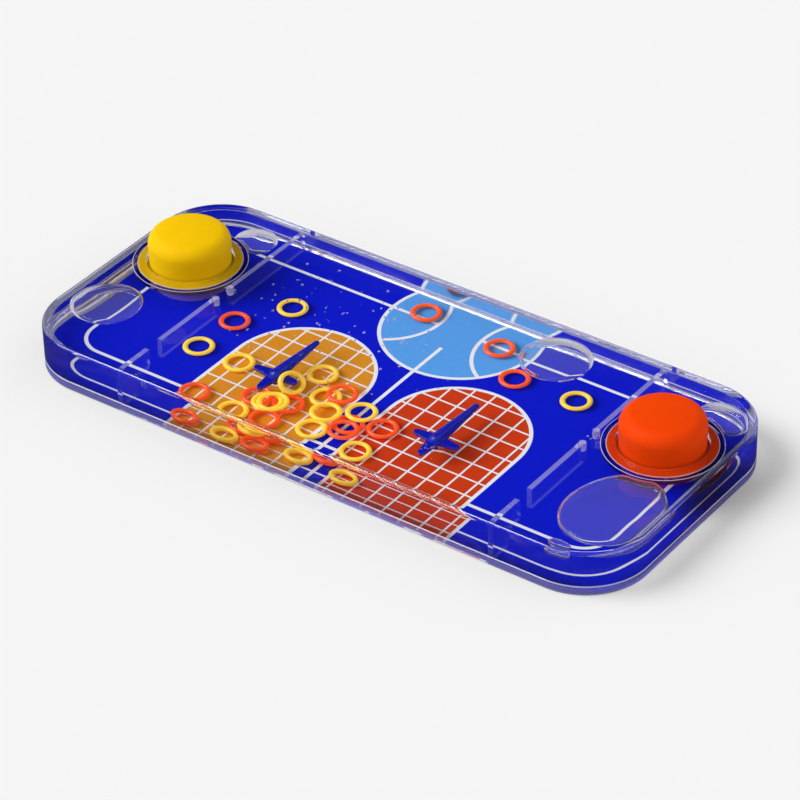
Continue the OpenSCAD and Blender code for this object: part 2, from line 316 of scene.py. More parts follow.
def clear_finish(
    name, refraction, tint=CLEAR_TINT, smears=0, waviness=0, haze=0, passed=PASSED_LIGHT,
    haze_tint=HAZE_TINT,
):
    """Clear plastic with one refraction on every face, slightly milky by its haze. The passed share is what
    shadow rays and soft light keep when they go straight through."""
    finish, nodes = new_finish(name)
    body = add_node(nodes, "ShaderNodeBsdfPrincipled", {
        "Base Color": tint, "Transmission Weight": 1, "IOR": refraction, "Roughness": 0,
    })
    if smears or waviness:
        marks = nodes.new("ShaderNodeGroup")
        marks.node_tree = handling
        marks.inputs["Smears"].default_value = smears
        marks.inputs["Waviness"].default_value = waviness
        wire(marks, "Roughness", body, "Roughness")
        wire(marks, "Normal", body, "Normal")
    milk = add_node(nodes, "ShaderNodeBsdfDiffuse", {"Color": haze_tint})
    veil = add_node(nodes, "ShaderNodeMixShader", {"Fac": haze})
    wire(body, "BSDF", veil, 1)
    wire(milk, "BSDF", veil, 2)
    ray = nodes.new("ShaderNodeLightPath")
    soft = add_node(nodes, "ShaderNodeMath", operation="MAXIMUM")
    wire(ray, "Is Shadow Ray", soft, 0)
    wire(ray, "Is Diffuse Ray", soft, 1)
    through = add_node(nodes, "ShaderNodeBsdfTransparent", {"Color": (passed, passed, passed, 1)})
    mix = nodes.new("ShaderNodeMixShader")
    out = nodes.new("ShaderNodeOutputMaterial")
    wire(soft, "Value", mix, "Fac")
    wire(veil, "Shader", mix, 1)
    wire(through, "BSDF", mix, 2)
    wire(mix, "Shader", out, "Surface")
    return finish


ACRYLIC = [
    clear_finish("clear_acrylic", REFRACTION_PLASTIC, smears=0.03, waviness=0.05),
    clear_finish("wet_acrylic", REFRACTION_PLASTIC_IN_WATER),
    clear_finish("welded_acrylic", 1),
    # Painted shade in the tint of the side faces.
    clear_finish("shaded_side_acrylic", REFRACTION_PLASTIC, SHADED_SIDE_TINT, smears=0.03, waviness=0.05, passed=0.35),
    clear_finish("seam_acrylic", REFRACTION_PLASTIC, haze=0.6, passed=0.8),
    clear_finish("divider_acrylic", REFRACTION_DIVIDER, haze=0.009),
    clear_finish(
        "rim_acrylic", REFRACTION_PLASTIC, smears=0.05, waviness=0.3, haze=0.27, passed=0.6,
        haze_tint=RIM_HAZE_TINT,
    ),
    # Painted shade in the tint of the undersides.
    clear_finish("shaded_rim_underside", REFRACTION_PLASTIC, SHADED_UNDERSIDE_TINT, haze=0.08, passed=0.6),
]
BARE, WET, WELDED, SIDE, SEAM, DIVIDER, RIM, UNDERSIDE = range(len(ACRYLIC))

rim_top = SEAM_HIGH - WELD_GAP / 2
tray_profile = (
    [(BASE_EDGE_R, 0)]
    + round_profile(0, 0, BASE_EDGE_R, BASE_EDGE_STEPS, False)
    + [(0, MILKY_TO), (0, rim_top - SEAM_BEVEL), (SEAM_BEVEL, rim_top), (WALL - LIP_T, rim_top)]
    + [(WALL - LIP_T, LIP_TOP), (WALL, LIP_TOP), (WALL, FLOOR_TOP)]
)
tray_strips = [RIM] * (BASE_EDGE_STEPS + 1) + [SIDE, SEAM, WELDED, WELDED, WELDED, WET, WET]
tray = slab("clear_tray", CASE_HALF, CORNER_R, tray_profile, ACRYLIC, tray_strips, UNDERSIDE)
pocket = slab(
    "card_recess", CASE_HALF - CARD_RIM, CORNER_R - CARD_RIM.x, [(0, -CUT_PAST), (0, CARD_POCKET)],
    [ACRYLIC[WELDED]],
)
join_or_cut(tray, pocket, "DIFFERENCE")
for side in (-1, 1):
    edges = sorted((side * (CASE_HALF.y + CUT_PAST), side * (CASE_HALF.y - CARD_RIM.y - RELIEF_OVERLAP)))
    relief = block(
        "rim_relief", (-DIVIDER_X, edges[0], -CUT_PAST), (DIVIDER_X, edges[1], RELIEF_HIGH),
        [ACRYLIC[UNDERSIDE]],
    )
    join_or_cut(tray, relief, "DIFFERENCE")
    boss = turn_profile(
        "boss",
        [(0, FLOOR_TOP - BOSS_ROOT), (BOSS_R, FLOOR_TOP - BOSS_ROOT), (BOSS_R, BOSS_TOP - BOSS_BEVEL),
         (BOSS_R - BOSS_BEVEL, BOSS_TOP), (0, BOSS_TOP)],
        (side * PEG_X, PEG_Y), [ACRYLIC[WET]], BOSS_STEPS, closed=False,
    )
    join_or_cut(tray, boss, "UNION")
    bore_r, bore_bottom = PIN_R + PIN_CLEARANCE, PIN_BOTTOM - PIN_CLEARANCE
    bore = turn_profile(
        "pin_hole", [(0, bore_bottom), (bore_r, bore_bottom), (bore_r, BORE_CUT_TO), (0, BORE_CUT_TO)],
        (side * PEG_X, PEG_Y), [ACRYLIC[WET]], PIN_STEPS, closed=False,
    )
    join_or_cut(tray, bore, "DIFFERENCE")
shade(tray)
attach(tray, "case")
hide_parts("base_tray")


# Clear shell
# The face and the side walls are one clear moulding, 1.6 mm and 1.8 mm thick, with the two dividers moulded
# in. Each divider has a jet slot between round lips and a gap near the front wall, where the water returns.
# Slightly milky strips show a divider's top and foot, and a cloudy core shows in each thick lip.
CASE_HIGH = 11.2
FACE_T = 1.6
CEILING = CASE_HIGH - FACE_T
EDGE_R = 0.8
EDGE_STEPS = 12
INNER_FILLET = 0.3
INNER_FILLET_STEPS = 5
BULB_X = 64.8
BULB_Y = 9.9
BULB_HOLE_R = 10.35
HOLE_BEVEL = 0.12
ROUND_STEPS = 128
SEAT_RADII = (12.3, 13.35)
GLUE_LINE_DEEP = 0.01
REBATE_INSET = 0.95
REBATE_TOP = 2.91
DIVIDER_T = 1.3
DIVIDER_SUNK = 0.3
DIVIDER_OVER_LIP = 0.03
FOOT_FROM_WALL = 0.05
JET_Y = 3.3
JET_EDGE = 2.7
JET_LIP_R = 1
JET_LIP_STEPS = 40
JET_CORE_R = (0.65, 0.75)
JET_CORE_LONG = 3.6
JET_CORE_DOWN = 0.08
JET_CORE_STEPS = 32
RETURN_Y = -22.1
RETURN_HALF = 2.2
TOP_STRIP = (CEILING - 0.06, CEILING - 0.01)
FOOT_STRIP = (FLOOR_TOP + 0.04, FLOOR_TOP + 0.1)
STRIP_INSET = Vector((0.05, 0.1))
FACES_DOWN = -0.99
SAME_HEIGHT = 0.005

top_milk = clear_finish("divider_top", 1, haze=0.11)
foot_milk = clear_finish("divider_foot", 1, haze=0.03)
core_milk = clear_finish("jet_core", 1, haze=0.3)
shell_foot = SEAM_HIGH + WELD_GAP / 2
shell_profile = (
    [(SEAM_BEVEL, shell_foot), (0, shell_foot + SEAM_BEVEL), (0, CASE_HIGH - EDGE_R)]
    + round_profile(0, CASE_HIGH - EDGE_R, EDGE_R, EDGE_STEPS, True)
)
shell_strips = [SEAM, SIDE] + [BARE] * (EDGE_STEPS + 1)
shell = slab("clear_shell_moulding", CASE_HALF, CORNER_R, shell_profile, ACRYLIC, shell_strips)
tank_profile = [(0, SEAM_HIGH - CUT_PAST), (0, CEILING - INNER_FILLET)] + round_profile(
    0, CEILING - INNER_FILLET, INNER_FILLET, INNER_FILLET_STEPS, True
)
tank = slab("tank_hollow", CASE_HALF - Vector((WALL, WALL)), CORNER_R - WALL, tank_profile, [ACRYLIC[WET]])
join_or_cut(shell, tank, "DIFFERENCE")
rebate = slab(
    "lip_rebate", CASE_HALF - Vector((REBATE_INSET, REBATE_INSET)), CORNER_R - REBATE_INSET,
    [(0, SEAM_HIGH - CUT_PAST), (0, REBATE_TOP)], [ACRYLIC[WELDED]],
)
join_or_cut(shell, rebate, "DIFFERENCE")
inside_y = CASE_HALF.y - WALL
for side in (-1, 1):
    hole = turn_profile(
        "bulb_hole",
        [(0, CEILING - CUT_PAST), (BULB_HOLE_R, CEILING - CUT_PAST), (BULB_HOLE_R, CASE_HIGH - HOLE_BEVEL),
         (BULB_HOLE_R + HOLE_BEVEL + CUT_PAST, CASE_HIGH + CUT_PAST), (0, CASE_HIGH + CUT_PAST)],
        (side * BULB_X, BULB_Y), [ACRYLIC[BARE]], ROUND_STEPS, closed=False,
    )
    join_or_cut(shell, hole, "DIFFERENCE")
    glue_low, glue_high = CEILING - CUT_PAST, CEILING + GLUE_LINE_DEEP
    glue_line = turn_profile(
        "seat_glue_line",
        [(SEAT_RADII[0], glue_low), (SEAT_RADII[1], glue_low), (SEAT_RADII[1], glue_high),
         (SEAT_RADII[0], glue_high)],
        (side * BULB_X, BULB_Y), [ACRYLIC[WELDED]], ROUND_STEPS,
    )
    join_or_cut(shell, glue_line, "DIFFERENCE")
    left_x, right_x = side * DIVIDER_X - DIVIDER_T / 2, side * DIVIDER_X + DIVIDER_T / 2
    for low_y, high_y in (
        (JET_Y + JET_EDGE, inside_y), (RETURN_Y + RETURN_HALF, JET_Y - JET_EDGE),
        (-inside_y, RETURN_Y - RETURN_HALF),
    ):
        at_front, at_back = low_y == -inside_y, high_y == inside_y
        foot_low = low_y + (FOOT_FROM_WALL if at_front else 0)
        foot_high = high_y - (FOOT_FROM_WALL if at_back else 0)
        foot = block(
            "divider_foot", (left_x, foot_low, FLOOR_TOP + WELD_GAP), (right_x, foot_high, 2 * REBATE_TOP),
            [ACRYLIC[DIVIDER]],
        )
        run = block(
            "divider_run",
            (left_x, low_y - (DIVIDER_SUNK if at_front else 0), REBATE_TOP + DIVIDER_OVER_LIP),
            (right_x, high_y + (DIVIDER_SUNK if at_back else 0), CEILING + DIVIDER_SUNK),
            [ACRYLIC[DIVIDER]],
        )
        join_or_cut(run, foot, "UNION")
        join_or_cut(shell, run, "UNION")
        for place, (low, high), milk in (("top", TOP_STRIP, top_milk), ("foot", FOOT_STRIP, foot_milk)):
            strip = block(
                "divider_weld_" + place,
                (left_x + STRIP_INSET.x, foot_low + STRIP_INSET.y, low),
                (right_x - STRIP_INSET.x, foot_high - STRIP_INSET.y, high), [milk],
            )
            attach(strip, "case")
    for end in (-1, 1):
        lip_at = (side * DIVIDER_X, JET_Y + end * JET_EDGE)
        lip_bottom, lip_top = FLOOR_TOP + WELD_GAP, CEILING + DIVIDER_SUNK
        core_bottom, core_top = CEILING - JET_CORE_LONG, CEILING - JET_CORE_DOWN
        core = turn_profile(
            "jet_lip_core",
            [(0, core_bottom), (JET_CORE_R[0], core_bottom), (JET_CORE_R[1], core_top), (0, core_top)],
            lip_at, [core_milk], JET_CORE_STEPS, closed=False,
        )
        shade(core)
        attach(core, "case")
        post = turn_profile(
            "jet_lip",
            [(0, lip_bottom), (JET_LIP_R, lip_bottom), (JET_LIP_R, lip_top), (0, lip_top)],
            lip_at, [ACRYLIC[DIVIDER]], JET_LIP_STEPS, closed=False,
        )
        join_or_cut(shell, post, "UNION")
for face in shell.data.polygons:
    if face.center.z < (shell_foot + SAME_HEIGHT) * MM and face.normal.z < FACES_DOWN:
        face.material_index = WELDED
shade(shell)
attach(shell, "case")
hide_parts("front_shell")


# Printed court
# A thin card laminated under the floor, printed with a street court in flat inks: blue ground, two net
# grids in front of the pegs, and a light blue ball with white seams at the far side.
COURT_HALF = Vector((70.6, 26.2))
COURT_Y = 0.2
COURT_CORNER_R = 7
LINE_HALF = 0.45
ZONE_X = 21
ZONE_HALF = 17.5
ZONE_Y = -6.4
ZONE_OUTLINE = 0.9
NET_LINE_HALF = 0.24
NET_PITCH_X = 5
NET_PITCH_Y = 5.15
NET_X = (-34.4, 10.9)
NET_Y = 7.3
BALL_Y = 27
BALL_R = 19.3
BALL_SEAM_R = 15
BALL_SEAM_X = 20.9
MID_LINE_TOP = 19
# Painted shade: the print darkens towards the front wall and the right end.
SHADED_EDGE = Vector((78.2, -33.7))
SHADED_WIDTH = Vector((5, 6.6))
DEEPEST_SHADE = 0.36
MOTTLE_SHARE = 0.12
MOTTLE_LEAST = 0.94
BLUE_INK = colour(0, 20, 210)
LIGHT_BLUE_INK = colour(92, 166, 244)
OCHRE_INK = colour(228, 148, 34)
ORANGE_INK = colour(212, 60, 16)
WHITE_INK = colour(245, 246, 250)


class Field:
    """A value that changes over a surface, kept as an output of its material's nodes."""

    def __init__(self, socket):
        self.socket = socket

    def feed(self, node, place):
        self.socket.id_data.links.new(self.socket, node.inputs[place])

    def step(self, operation, *others):
        node = add_node(self.socket.id_data.nodes, "ShaderNodeMath", operation=operation)
        for place, value in enumerate((self, *others)):
            if isinstance(value, Field):
                value.feed(node, place)
            else:
                node.inputs[place].default_value = value
        return Field(node.outputs["Value"])

    def __add__(self, other):
        return self.step("ADD", other)

    def __sub__(self, other):
        return self.step("SUBTRACT", other)

    def __mul__(self, other):
        return self.step("MULTIPLY", other)

    def size(self):
        return self.step("ABSOLUTE")

    def below(self, limit):
        return self.step("LESS_THAN", limit)

    def above(self, limit):
        return self.step("GREATER_THAN", limit)

    def at_least(self, limit):
        return self.step("MAXIMUM", limit)

    def at_most(self, limit):
        return self.step("MINIMUM", limit)


def far(x, y):
    """Distance of two fields from zero."""
    return (x * x + y * y).step("SQRT")


def printed_card_finish():
    """The court's inks, drawn over each other in the card's own millimetres."""
    finish, nodes = new_finish("court_print")
    place = nodes.new("ShaderNodeTexCoord")
    apart = nodes.new("ShaderNodeSeparateXYZ")
    wire(place, "Object", apart, "Vector")
    x = Field(apart.outputs["X"]) * (1 / MM)
    y = Field(apart.outputs["Y"]) * (1 / MM)

    def over(ink_below, mask, ink):
        mix = add_node(nodes, "ShaderNodeMix", {"B": ink}, data_type="RGBA")
        mask.feed(mix, "Factor")
        if isinstance(ink_below, tuple):
            mix.inputs["A"].default_value = ink_below
        else:
            wire(ink_below, "Result", mix, "A")
        return mix

    # Ball, with its seams and outline
    ball = far(x, y - BALL_Y)
    seam_circle = far(x.size() - BALL_SEAM_X, y - BALL_Y)
    in_ball = ball.below(BALL_R - 2 * LINE_HALF)
    seam = (seam_circle - BALL_SEAM_R).size().below(LINE_HALF) * in_ball
    ball_edge = (ball - (BALL_R - LINE_HALF)).size().below(LINE_HALF)
    ink = over(BLUE_INK, in_ball, LIGHT_BLUE_INK)

    # Court outline from the distance to a rounded rectangle, crossing the ball only between its seams
    over_x = (x.size() - (COURT_HALF.x - COURT_CORNER_R)).at_least(0)
    over_y = ((y - COURT_Y).size() - (COURT_HALF.y - COURT_CORNER_R)).at_least(0)
    outline = (far(over_x, over_y) - COURT_CORNER_R).size().below(LINE_HALF)
    between_seams = seam_circle.above(BALL_SEAM_R + LINE_HALF) * in_ball
    outline = outline * (between_seams * -1 + 1)
    mid_line = x.size().below(LINE_HALF) * y.below(MID_LINE_TOP)
    ink = over(ink, outline.at_least(mid_line).at_least(ball_edge).at_least(seam), WHITE_INK)

    # Net zones
    down = (y - ZONE_Y).at_least(0)
    for side, net_x, zone_ink in ((-1, NET_X[0], OCHRE_INK), (1, NET_X[1], ORANGE_INK)):
        edge = far(x - side * ZONE_X, down) - ZONE_HALF
        ink = over(ink, edge.below(0), WHITE_INK)
        upright = ((x - net_x) * (1 / NET_PITCH_X) + 0.5).step("FRACT") - 0.5
        across = ((y - NET_Y) * (1 / NET_PITCH_Y) + 0.5).step("FRACT") - 0.5
        net = upright.size().below(NET_LINE_HALF / NET_PITCH_X).at_least(
            across.size().below(NET_LINE_HALF / NET_PITCH_Y)
        )
        ink = over(ink, edge.below(-ZONE_OUTLINE) * (net * -1 + 1), zone_ink)

    # Slight mottle of the ink, and painted shade: the print is darkened close to the front wall and the
    # right end, for the light that the walls keep out
    mottle = add_node(nodes, "ShaderNodeTexNoise", {"Scale": 700, "Detail": 3})
    wire(place, "Object", mottle, "Vector")
    grain = Field(mottle.outputs["Fac"]) * MOTTLE_SHARE + MOTTLE_LEAST
    from_front = ((y - SHADED_EDGE.y) * (1 / SHADED_WIDTH.y)).at_least(0)
    from_end = ((x * -1 + SHADED_EDGE.x) * (1 / SHADED_WIDTH.x)).at_least(0)
    lit = from_front.at_most(from_end).at_most(1) * (1 - DEEPEST_SHADE) + DEEPEST_SHADE
    tone = add_node(nodes, "ShaderNodeVectorMath", operation="SCALE")
    wire(ink, "Result", tone, "Vector")
    (grain * lit).feed(tone, "Scale")
    body = add_node(nodes, "ShaderNodeBsdfPrincipled", {"Roughness": 0.6, "Specular IOR Level": 0.1})
    wire(tone, "Vector", body, "Base Color")
    out = nodes.new("ShaderNodeOutputMaterial")
    wire(body, "BSDF", out, "Surface")
    return finish


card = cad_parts["printed_card"]
card.data.materials.clear()
card.data.materials.append(printed_card_finish())


# Bulb seats
# A clear turned ring is glued under the face round each hole, with a thin bead of glue at its inner and
# outer edge. Its ledge holds the bulb's flange up against the face.
SEAT_BOTTOM = 7.25
SEAT_TOP = 9.55
LEDGE_TOP = 8.25
LEDGE_IN_R = 10.4
LEDGE_BEVEL = 0.1
GLUE_BEAD_R = 0.1
GLUE_BEAD_SIDES = 8
GLUE_REFRACTION = 1.1
# Painted shade: the seat's bore and bottom carry a dark purple tint for the shade under the bulb.
SEAT_SHADE = (0.12, 0.06, 0.16, 1)
GLUE_TINT = (0.95, 0.95, 1, 1)
ROUND_CREASE = 60
SEAT_CLEAR, SEAT_GLUED, SEAT_SHADED = range(3)

seat_finishes = [
    ACRYLIC[WET], ACRYLIC[WELDED],
    clear_finish("shaded_seat", REFRACTION_PLASTIC_IN_WATER, SEAT_SHADE, passed=0.9),
]
glue = clear_finish("set_glue", GLUE_REFRACTION, GLUE_TINT, haze=0.45)
seat_profile = [
    (LEDGE_IN_R, SEAT_BOTTOM), (SEAT_RADII[1] - LEDGE_BEVEL, SEAT_BOTTOM),
    (SEAT_RADII[1], SEAT_BOTTOM + LEDGE_BEVEL), (SEAT_RADII[1], SEAT_TOP), (SEAT_RADII[0], SEAT_TOP),
    (SEAT_RADII[0], LEDGE_TOP), (LEDGE_IN_R, LEDGE_TOP),
]
seat_rows = [SEAT_SHADED, SEAT_CLEAR, SEAT_CLEAR, SEAT_GLUED, SEAT_CLEAR, SEAT_CLEAR, SEAT_SHADED]
for side, word in ((-1, "left"), (1, "right")):
    seat = turn_profile(
        word + "_seat_ring", seat_profile, (side * BULB_X, BULB_Y), seat_finishes, ROUND_STEPS, seat_rows
    )
    shade(seat)
    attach(seat, "case")
    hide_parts(word + "_bulb_seat")
    for place, middle in (
        ("outer", SEAT_RADII[1] + GLUE_BEAD_R), ("inner", SEAT_RADII[0] - GLUE_BEAD_R / 2),
    ):
        turns = [2 * math.pi * step / GLUE_BEAD_SIDES for step in range(GLUE_BEAD_SIDES)]
        section = [
            (middle + GLUE_BEAD_R * math.cos(a), SEAT_TOP - GLUE_BEAD_R + GLUE_BEAD_R * math.sin(a))
            for a in turns
        ]
        bead = turn_profile(
            word + "_" + place + "_glue_bead", section, (side * BULB_X, BULB_Y), [glue], ROUND_STEPS
        )
        shade(bead, ROUND_CREASE)
        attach(bead, "case")


# Push bulbs
# Each bulb is one hollow rubber moulding: a flange held under the face by the seat, and a short drum that
# rises through the hole, with a round shoulder and a gently domed top.
BULB_R = 9.7
BULB_TOP = 19.1
BULB_WALL = 1.7
BULB_FOOT_R = 9.5
BULB_STEPS = 160
DRUM_ROWS = 4
SHOULDER_ROWS = 14
SHOULDER_R = 3.3
CROWN_R = 46
FLANGE_R = 12.2
FLANGE_TOP = 9.55
FLANGE_ROUND = 0.35
FOOT_ROUND = 0.3
ROUND_ROWS = 4
BULB_CREASE = 40
# Painted shade: the rubber is darkened below the face, and most at the drum's foot.
ROOT_DARK_TO = 11.6
ROOT_DARK_R = 10.25
FLANGE_SHADE = 0.66
ROOT_SHADE = 0.3
CLOUD_SHADE = 0.9
BULB_COLOURS = {"left": colour(243, 194, 2), "right": colour(238, 67, 0)}


def dome(radius, top, round_r, crown_r, foot_r, foot_z):
    """Outer line of a bulb from its foot up to the axis."""
    centre_z = top - crown_r + math.sqrt((crown_r - round_r) ** 2 - (radius - round_r) ** 2)
    crown_edge = math.asin((radius - round_r) / (crown_r - round_r))
    rows = []
    for row in range(DRUM_ROWS + 1):
        share = row / DRUM_ROWS
        rows.append((foot_r + (radius - foot_r) * share, foot_z + (centre_z - foot_z) * share))
    for step in range(1, SHOULDER_ROWS + 1):
        a = (math.pi / 2 - crown_edge) * step / SHOULDER_ROWS
        rows.append((radius - round_r + round_r * math.cos(a), centre_z + round_r * math.sin(a)))
    for step in range(1, SHOULDER_ROWS):
        a = crown_edge * (1 - step / SHOULDER_ROWS)
        rows.append((crown_r * math.sin(a), top - crown_r + crown_r * math.cos(a)))
    return rows + [(0, top)]


def rubber_finish(name, tint):
    """Satin silicone, a little cloudy, with painted shade on the flange and in the groove at the drum's
    foot, under the face, and a faint painted glow of its own colour.
    """
    finish, nodes = new_finish(name)
    place = nodes.new("ShaderNodeTexCoord")
    cloud = add_node(nodes, "ShaderNodeTexNoise", {"Scale": 220, "Detail": 6})
    wire(place, "Object", cloud, "Vector")
    clouded = tuple(c * CLOUD_SHADE for c in tint[:3]) + (1,)
    ramp = add_node(nodes, "ShaderNodeMix", {"A": clouded, "B": tint}, data_type="RGBA")
    wire(cloud, "Fac", ramp, "Factor")
    apart = nodes.new("ShaderNodeSeparateXYZ")
    wire(place, "Object", apart, "Vector")
    across = Field(apart.outputs["X"]).size() - BULB_X * MM
    from_axis = far(across, Field(apart.outputs["Y"]) - BULB_Y * MM)
    root = add_node(
        nodes, "ShaderNodeMapRange", {"From Min": ROOT_DARK_TO * MM, "From Max": FLANGE_TOP * MM},
        interpolation_type="SMOOTHSTEP",
    )
    wire(apart, "Z", root, "Value")
    in_root = Field(root.outputs["Result"])
    near_foot = from_axis.below(ROOT_DARK_R * MM)
    darkening = in_root * (near_foot * (FLANGE_SHADE - ROOT_SHADE) + (1 - FLANGE_SHADE)) * -1 + 1
    shaded = add_node(nodes, "ShaderNodeVectorMath", operation="SCALE")
    wire(ramp, "Result", shaded, "Vector")
    darkening.feed(shaded, "Scale")
    rough = add_node(nodes, "ShaderNodeMapRange", {"To Min": 0.48, "To Max": 0.66})
    wire(cloud, "Fac", rough, "Value")
    grain = add_node(nodes, "ShaderNodeTexNoise", {"Scale": 2600})
    wire(place, "Object", grain, "Vector")
    bump = add_node(nodes, "ShaderNodeBump", {"Strength": 0.25, "Distance": 0.05 * MM})
    wire(grain, "Fac", bump, "Height")
    # A faint painted glow of the rubber's own shaded colour.
    body = add_node(nodes, "ShaderNodeBsdfPrincipled", {
        "Specular IOR Level": 0.06, "Emission Strength": 0.08, "Subsurface Weight": 0.25,
        "Subsurface Radius": (1, 0.45, 0.1), "Subsurface Scale": 1.5 * MM,
    })
    wire(shaded, "Vector", body, "Base Color")
    wire(shaded, "Vector", body, "Emission Color")
    wire(rough, "Result", body, "Roughness")
    wire(bump, "Normal", body, "Normal")
    result = nodes.new("ShaderNodeOutputMaterial")
    wire(body, "BSDF", result, "Surface")
    return finish


outer = dome(BULB_R, BULB_TOP, SHOULDER_R, CROWN_R, BULB_FOOT_R, FLANGE_TOP + FOOT_ROUND)
inner = dome(
    BULB_R - BULB_WALL, BULB_TOP - BULB_WALL, SHOULDER_R - BULB_WALL, CROWN_R - BULB_WALL,
    BULB_R - BULB_WALL, LEDGE_TOP,
)
under = [(BULB_R - BULB_WALL + FOOT_ROUND, LEDGE_TOP), (FLANGE_R - FLANGE_ROUND, LEDGE_TOP)]
rim = [(FLANGE_R, LEDGE_TOP + FLANGE_ROUND), (FLANGE_R, FLANGE_TOP - FLANGE_ROUND)]
for row in range(1, ROUND_ROWS + 1):
    a = math.pi / 2 * row / ROUND_ROWS
    rim.append((FLANGE_R - FLANGE_ROUND * (1 - math.cos(a)), FLANGE_TOP - FLANGE_ROUND * (1 - math.sin(a))))
root = []
for row in range(ROUND_ROWS):
    a = math.pi / 2 * row / ROUND_ROWS
    root.append((BULB_FOOT_R + FOOT_ROUND * (1 - math.sin(a)), FLANGE_TOP + FOOT_ROUND * (1 - math.cos(a))))
bulb_profile = list(reversed(inner)) + under + rim + root + outer
for side, word, slot in ((-1, "left", "yellow_rubber"), (1, "right", "orange_rubber")):
    bulb = turn_profile(
        word + "_rubber_bulb", bulb_profile, (side * BULB_X, BULB_Y),
        [rubber_finish(word + "_rubber", BULB_COLOURS[word])], BULB_STEPS, closed=False,
    )
    shade(bulb, BULB_CREASE)
    word + "_button"
    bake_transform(bulb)
    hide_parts(word + "_bulb", word + "_bulb_flange")


# Pegs
# Each peg is one deep blue moulding, glossy under the water: a tapered spike that points away from the
# player, on a three-armed cross whose pin is pushed into its boss.
PEG_BLUE = colour(2, 24, 182)
PEG_EDGE_R = 0.22
EDGE_SAMPLES = 6
ROUGHNESS_SPREAD = 0.2


def moulded_finish(name, tint, dark_share, roughness, clouding, edge_r=0, glow_depth=0, painted_glow=0):
    """Moulded plastic: a slight cloudiness of its colour, edges that look softened by a small radius, and a
    painted glow, a little light of the plastic's own colour given off to lift its shaded sides."""
    finish, nodes = new_finish(name)
    place = nodes.new("ShaderNodeTexCoord")
    cloud = add_node(nodes, "ShaderNodeTexNoise", {"Scale": clouding, "Detail": 3})
    wire(place, "Object", cloud, "Vector")
    darker = tuple(c * dark_share for c in tint[:3]) + (1,)
    mix = add_node(nodes, "ShaderNodeMix", {"A": darker, "B": tint}, data_type="RGBA")
    wire(cloud, "Fac", mix, "Factor")
    spread = add_node(nodes, "ShaderNodeMapRange", {
        "To Min": roughness * (1 - ROUGHNESS_SPREAD), "To Max": roughness * (1 + ROUGHNESS_SPREAD),
    })
    wire(cloud, "Fac", spread, "Value")
    body = add_node(nodes, "ShaderNodeBsdfPrincipled", {"IOR": REFRACTION_PLASTIC})
    wire(mix, "Result", body, "Base Color")
    wire(spread, "Result", body, "Roughness")
    if glow_depth:
        body.inputs["Subsurface Weight"].default_value = 0.85
        body.inputs["Subsurface Radius"].default_value = (1, 0.5, 0.15)
        body.inputs["Subsurface Scale"].default_value = glow_depth * MM
    if painted_glow:
        wire(mix, "Result", body, "Emission Color")
        body.inputs["Emission Strength"].default_value = painted_glow
    if edge_r:
        soft_edge = add_node(nodes, "ShaderNodeBevel", {"Radius": edge_r * MM}, samples=EDGE_SAMPLES)
        wire(soft_edge, "Normal", body, "Normal")
    out = nodes.new("ShaderNodeOutputMaterial")
    wire(body, "BSDF", out, "Surface")
    return finish


peg_plastic = moulded_finish(
    "blue_moulded_plastic", PEG_BLUE, dark_share=0.8, roughness=0.22, clouding=400, edge_r=PEG_EDGE_R
)
for word in ("left", "right"):
    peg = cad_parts[word + "_peg"]
    peg.data.materials.clear()
    peg.data.materials.append(peg_plastic)


# Rings
# Small moulded hoops of translucent plastic, yellow and orange, with a faint painted glow of their own
# colour and a fine parting line round the outside and the inside. They sink and lie singly and in a heap,
# and one hangs on a peg.
RING_MIDDLE_R = 3.08
RING_SECTION_R = 0.61
RING_SEAM_RISE = 0.012
HOOP_STEPS = 112
SECTION_STEPS = 28
SEAM_WITHIN = 0.02
HANGING_RING = "yellow_ring_14"
HANGING_LEAN = math.radians(45)
YELLOW_RING = colour(252, 212, 62)
ORANGE_RING = colour(250, 88, 22)


def form_group(name, inputs):
    """A Geometry Nodes group with the given inputs: the group, its nodes, its start and its end."""
    group = bpy.data.node_groups.new(name, "GeometryNodeTree")
    group.interface.new_socket("Geometry", in_out="INPUT", socket_type="NodeSocketGeometry")
    for label, kind in inputs:
        group.interface.new_socket(label, in_out="INPUT", socket_type="NodeSocket" + kind)
    group.interface.new_socket("Geometry", in_out="OUTPUT", socket_type="NodeSocketGeometry")
    nodes = group.nodes
    return group, nodes, nodes.new("NodeGroupInput"), nodes.new("NodeGroupOutput")


def end_form(nodes, last, given, result):
    """Ends a group with Realize Instances and Set Material."""
    real = nodes.new("GeometryNodeRealizeInstances")
    finish = nodes.new("GeometryNodeSetMaterial")
    wire(last, "Geometry", real, "Geometry")
    wire(real, "Geometry", finish, "Geometry")
    wire(given, "Finish", finish, "Material")
    wire(finish, "Geometry", result, "Geometry")


def grown_piece(name, group, values):
    """The plain mesh that a group makes from the given input values."""
    piece = bpy.data.objects.new(name, bpy.data.meshes.new(name))
    scene.collection.objects.link(piece)
    growth = piece.modifiers.new("growth", "NODES")
    growth.node_group = group
    for item in group.interface.items_tree:
        if item.item_type == "SOCKET" and item.in_out == "INPUT" and item.name in values:
            growth[item.identifier] = values[item.name]
    return evaluated_copy(piece)


